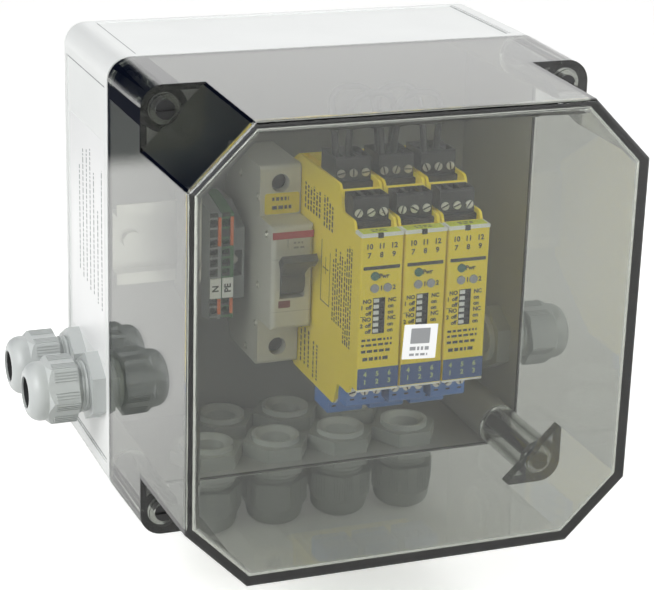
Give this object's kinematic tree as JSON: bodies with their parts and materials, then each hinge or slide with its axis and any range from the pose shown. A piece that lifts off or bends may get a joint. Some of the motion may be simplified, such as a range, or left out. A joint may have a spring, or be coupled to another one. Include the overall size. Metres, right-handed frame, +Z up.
{
  "type": "isolating relay unit",
  "caption": "Wall-mounted isolating relay unit: grey box with a smoked clear lid and cable glands, holding rail-mounted relays, a breaker and terminals.",
  "frame": {"origin": "centre of the flat back face that lies on the wall", "axes": "+X to the right, +Y into the wall, +Z up, seen from the front"},
  "size_m": [0.2408, 0.165, 0.2094],
  "materials": {
    "base_grey": "fine satin moulding, near-white grey",
    "lid_smoked": "clear polycarbonate with a grey smoke tint",
    "seal_black": "soft black rubber",
    "screw_dark": "dark grey moulded nylon",
    "gland_grey": "light grey nylon",
    "zinc_steel": "zinc-plated steel",
    "breaker_white": "off-white moulding",
    "toggle_grey": "dark grey moulding",
    "relay_yellow": "yellow moulding",
    "plug_black": "black moulding",
    "plug_blue": "blue moulding",
    "lamp_clear": "milky light pipe",
    "tag_white": "white moulding",
    "card_green": "yellow-green card",
    "switch_black": "black moulding",
    "terminal_grey": "mid grey moulding",
    "terminal_green": "green moulding",
    "pusher_orange": "orange moulding",
    "wire_black": "black insulated wire"
  },
  "bodies": {
    "enclosure": {"enclosure_base": "base_grey", "lid_gasket": "seal_black", "gland_bodies": "gland_grey", "gland_locknuts": "gland_grey", "gland_cap_nuts": "gland_grey", "gland_seals": "seal_black", "din_rail": "zinc_steel", "rail_screws": "zinc_steel", "breaker_housing": "breaker_white", "breaker_terminal_screws": "zinc_steel", "relay_1_housing": "relay_yellow", "relay_2_housing": "relay_yellow", "relay_3_housing": "relay_yellow", "upper_plugs": "plug_black", "lower_plugs": "plug_blue", "plug_screws": "zinc_steel", "relay_lamps": "lamp_clear", "marker_clips": "tag_white", "marker_cards": "card_green", "option_switch_bodies": "switch_black", "terminal_neutral": "terminal_grey", "terminal_earth": "terminal_green", "neutral_marker_tag": "tag_white", "earth_marker_tag": "tag_white", "end_bracket": "terminal_grey", "end_bracket_screw": "zinc_steel", "link_wires_live": "wire_black", "link_wires_neutral": "wire_black"},
    "lid": {"lid": "lid_smoked"},
    "lid_screw_1": {"lid_screw_1": "screw_dark"},
    "lid_screw_2": {"lid_screw_2": "screw_dark"},
    "lid_screw_3": {"lid_screw_3": "screw_dark"},
    "lid_screw_4": {"lid_screw_4": "screw_dark"},
    "breaker_toggle": {"breaker_toggle": "toggle_grey"},
    "breaker_rail_latch": {"breaker_rail_latch": "toggle_grey"},
    "neutral_upper_pusher": {"neutral_upper_pusher": "pusher_orange"},
    "neutral_lower_pusher": {"neutral_lower_pusher": "pusher_orange"},
    "earth_upper_pusher": {"earth_upper_pusher": "pusher_orange"},
    "earth_lower_pusher": {"earth_lower_pusher": "pusher_orange"},
    "relay_1_option_slider_1": {"relay_1_option_slider_1": "tag_white"},
    "relay_1_option_slider_2": {"relay_1_option_slider_2": "tag_white"},
    "relay_1_option_slider_3": {"relay_1_option_slider_3": "tag_white"},
    "relay_1_option_slider_4": {"relay_1_option_slider_4": "tag_white"},
    "relay_1_option_slider_5": {"relay_1_option_slider_5": "tag_white"},
    "relay_1_option_slider_6": {"relay_1_option_slider_6": "tag_white"},
    "relay_2_option_slider_1": {"relay_2_option_slider_1": "tag_white"},
    "relay_2_option_slider_2": {"relay_2_option_slider_2": "tag_white"},
    "relay_2_option_slider_3": {"relay_2_option_slider_3": "tag_white"},
    "relay_2_option_slider_4": {"relay_2_option_slider_4": "tag_white"},
    "relay_2_option_slider_5": {"relay_2_option_slider_5": "tag_white"},
    "relay_2_option_slider_6": {"relay_2_option_slider_6": "tag_white"},
    "relay_3_option_slider_1": {"relay_3_option_slider_1": "tag_white"},
    "relay_3_option_slider_2": {"relay_3_option_slider_2": "tag_white"},
    "relay_3_option_slider_3": {"relay_3_option_slider_3": "tag_white"},
    "relay_3_option_slider_4": {"relay_3_option_slider_4": "tag_white"},
    "relay_3_option_slider_5": {"relay_3_option_slider_5": "tag_white"},
    "relay_3_option_slider_6": {"relay_3_option_slider_6": "tag_white"}
  },
  "joints": [
    {"name": "lid_lift", "type": "slide", "parent": "enclosure", "child": "lid", "axis": [0, -1, 0], "range_m": [0, 0.12]},
    {"name": "lid_screw_1_turn", "type": "hinge", "parent": "lid", "child": "lid_screw_1", "pos_m": [-0.0808, -0.11, 0.0798], "axis": [0, 1, 0], "range_deg": [0, 90]},
    {"name": "lid_screw_2_turn", "type": "hinge", "parent": "lid", "child": "lid_screw_2", "pos_m": [0.0808, -0.11, 0.0798], "axis": [0, 1, 0], "range_deg": [0, 90]},
    {"name": "lid_screw_3_turn", "type": "hinge", "parent": "lid", "child": "lid_screw_3", "pos_m": [-0.0808, -0.11, -0.0798], "axis": [0, 1, 0], "range_deg": [0, 90]},
    {"name": "lid_screw_4_turn", "type": "hinge", "parent": "lid", "child": "lid_screw_4", "pos_m": [0.0808, -0.11, -0.0798], "axis": [0, 1, 0], "range_deg": [0, 90]},
    {"name": "breaker_toggle_flip", "type": "hinge", "parent": "enclosure", "child": "breaker_toggle", "pos_m": [-0.0162, -0.066, -0.0045], "axis": [1, 0, 0], "range_deg": [0, 84]},
    {"name": "breaker_latch_pull", "type": "slide", "parent": "enclosure", "child": "breaker_rail_latch", "axis": [0, 0, -1], "range_m": [0, 0.0035], "stiffness_N_per_m": 800, "springref_m": -0.002},
    {"name": "neutral_upper_pusher_press", "type": "slide", "parent": "enclosure", "child": "neutral_upper_pusher", "axis": [0, 1, 0], "range_m": [0, 0.0015], "stiffness_N_per_m": 400, "springref_m": -0.001},
    {"name": "neutral_lower_pusher_press", "type": "slide", "parent": "enclosure", "child": "neutral_lower_pusher", "axis": [0, 1, 0], "range_m": [0, 0.0015], "stiffness_N_per_m": 400, "springref_m": -0.001},
    {"name": "earth_upper_pusher_press", "type": "slide", "parent": "enclosure", "child": "earth_upper_pusher", "axis": [0, 1, 0], "range_m": [0, 0.0015], "stiffness_N_per_m": 400, "springref_m": -0.001},
    {"name": "earth_lower_pusher_press", "type": "slide", "parent": "enclosure", "child": "earth_lower_pusher", "axis": [0, 1, 0], "range_m": [0, 0.0015], "stiffness_N_per_m": 400, "springref_m": -0.001},
    {"name": "relay_1_option_slider_1_shift", "type": "slide", "parent": "enclosure", "child": "relay_1_option_slider_1", "axis": [1, 0, 0], "range_m": [0, 0.002]},
    {"name": "relay_1_option_slider_2_shift", "type": "slide", "parent": "enclosure", "child": "relay_1_option_slider_2", "axis": [1, 0, 0], "range_m": [0, 0.002]},
    {"name": "relay_1_option_slider_3_shift", "type": "slide", "parent": "enclosure", "child": "relay_1_option_slider_3", "axis": [1, 0, 0], "range_m": [0, 0.002]},
    {"name": "relay_1_option_slider_4_shift", "type": "slide", "parent": "enclosure", "child": "relay_1_option_slider_4", "axis": [1, 0, 0], "range_m": [0, 0.002]},
    {"name": "relay_1_option_slider_5_shift", "type": "slide", "parent": "enclosure", "child": "relay_1_option_slider_5", "axis": [1, 0, 0], "range_m": [0, 0.002]},
    {"name": "relay_1_option_slider_6_shift", "type": "slide", "parent": "enclosure", "child": "relay_1_option_slider_6", "axis": [1, 0, 0], "range_m": [0, 0.002]},
    {"name": "relay_2_option_slider_1_shift", "type": "slide", "parent": "enclosure", "child": "relay_2_option_slider_1", "axis": [1, 0, 0], "range_m": [0, 0.002]},
    {"name": "relay_2_option_slider_2_shift", "type": "slide", "parent": "enclosure", "child": "relay_2_option_slider_2", "axis": [1, 0, 0], "range_m": [0, 0.002]},
    {"name": "relay_2_option_slider_3_shift", "type": "slide", "parent": "enclosure", "child": "relay_2_option_slider_3", "axis": [1, 0, 0], "range_m": [0, 0.002]},
    {"name": "relay_2_option_slider_4_shift", "type": "slide", "parent": "enclosure", "child": "relay_2_option_slider_4", "axis": [1, 0, 0], "range_m": [0, 0.002]},
    {"name": "relay_2_option_slider_5_shift", "type": "slide", "parent": "enclosure", "child": "relay_2_option_slider_5", "axis": [1, 0, 0], "range_m": [0, 0.002]},
    {"name": "relay_2_option_slider_6_shift", "type": "slide", "parent": "enclosure", "child": "relay_2_option_slider_6", "axis": [1, 0, 0], "range_m": [0, 0.002]},
    {"name": "relay_3_option_slider_1_shift", "type": "slide", "parent": "enclosure", "child": "relay_3_option_slider_1", "axis": [1, 0, 0], "range_m": [0, 0.002]},
    {"name": "relay_3_option_slider_2_shift", "type": "slide", "parent": "enclosure", "child": "relay_3_option_slider_2", "axis": [1, 0, 0], "range_m": [0, 0.002]},
    {"name": "relay_3_option_slider_3_shift", "type": "slide", "parent": "enclosure", "child": "relay_3_option_slider_3", "axis": [1, 0, 0], "range_m": [0, 0.002]},
    {"name": "relay_3_option_slider_4_shift", "type": "slide", "parent": "enclosure", "child": "relay_3_option_slider_4", "axis": [1, 0, 0], "range_m": [0, 0.002]},
    {"name": "relay_3_option_slider_5_shift", "type": "slide", "parent": "enclosure", "child": "relay_3_option_slider_5", "axis": [1, 0, 0], "range_m": [0, 0.002]},
    {"name": "relay_3_option_slider_6_shift", "type": "slide", "parent": "enclosure", "child": "relay_3_option_slider_6", "axis": [1, 0, 0], "range_m": [0, 0.002]}
  ]
}
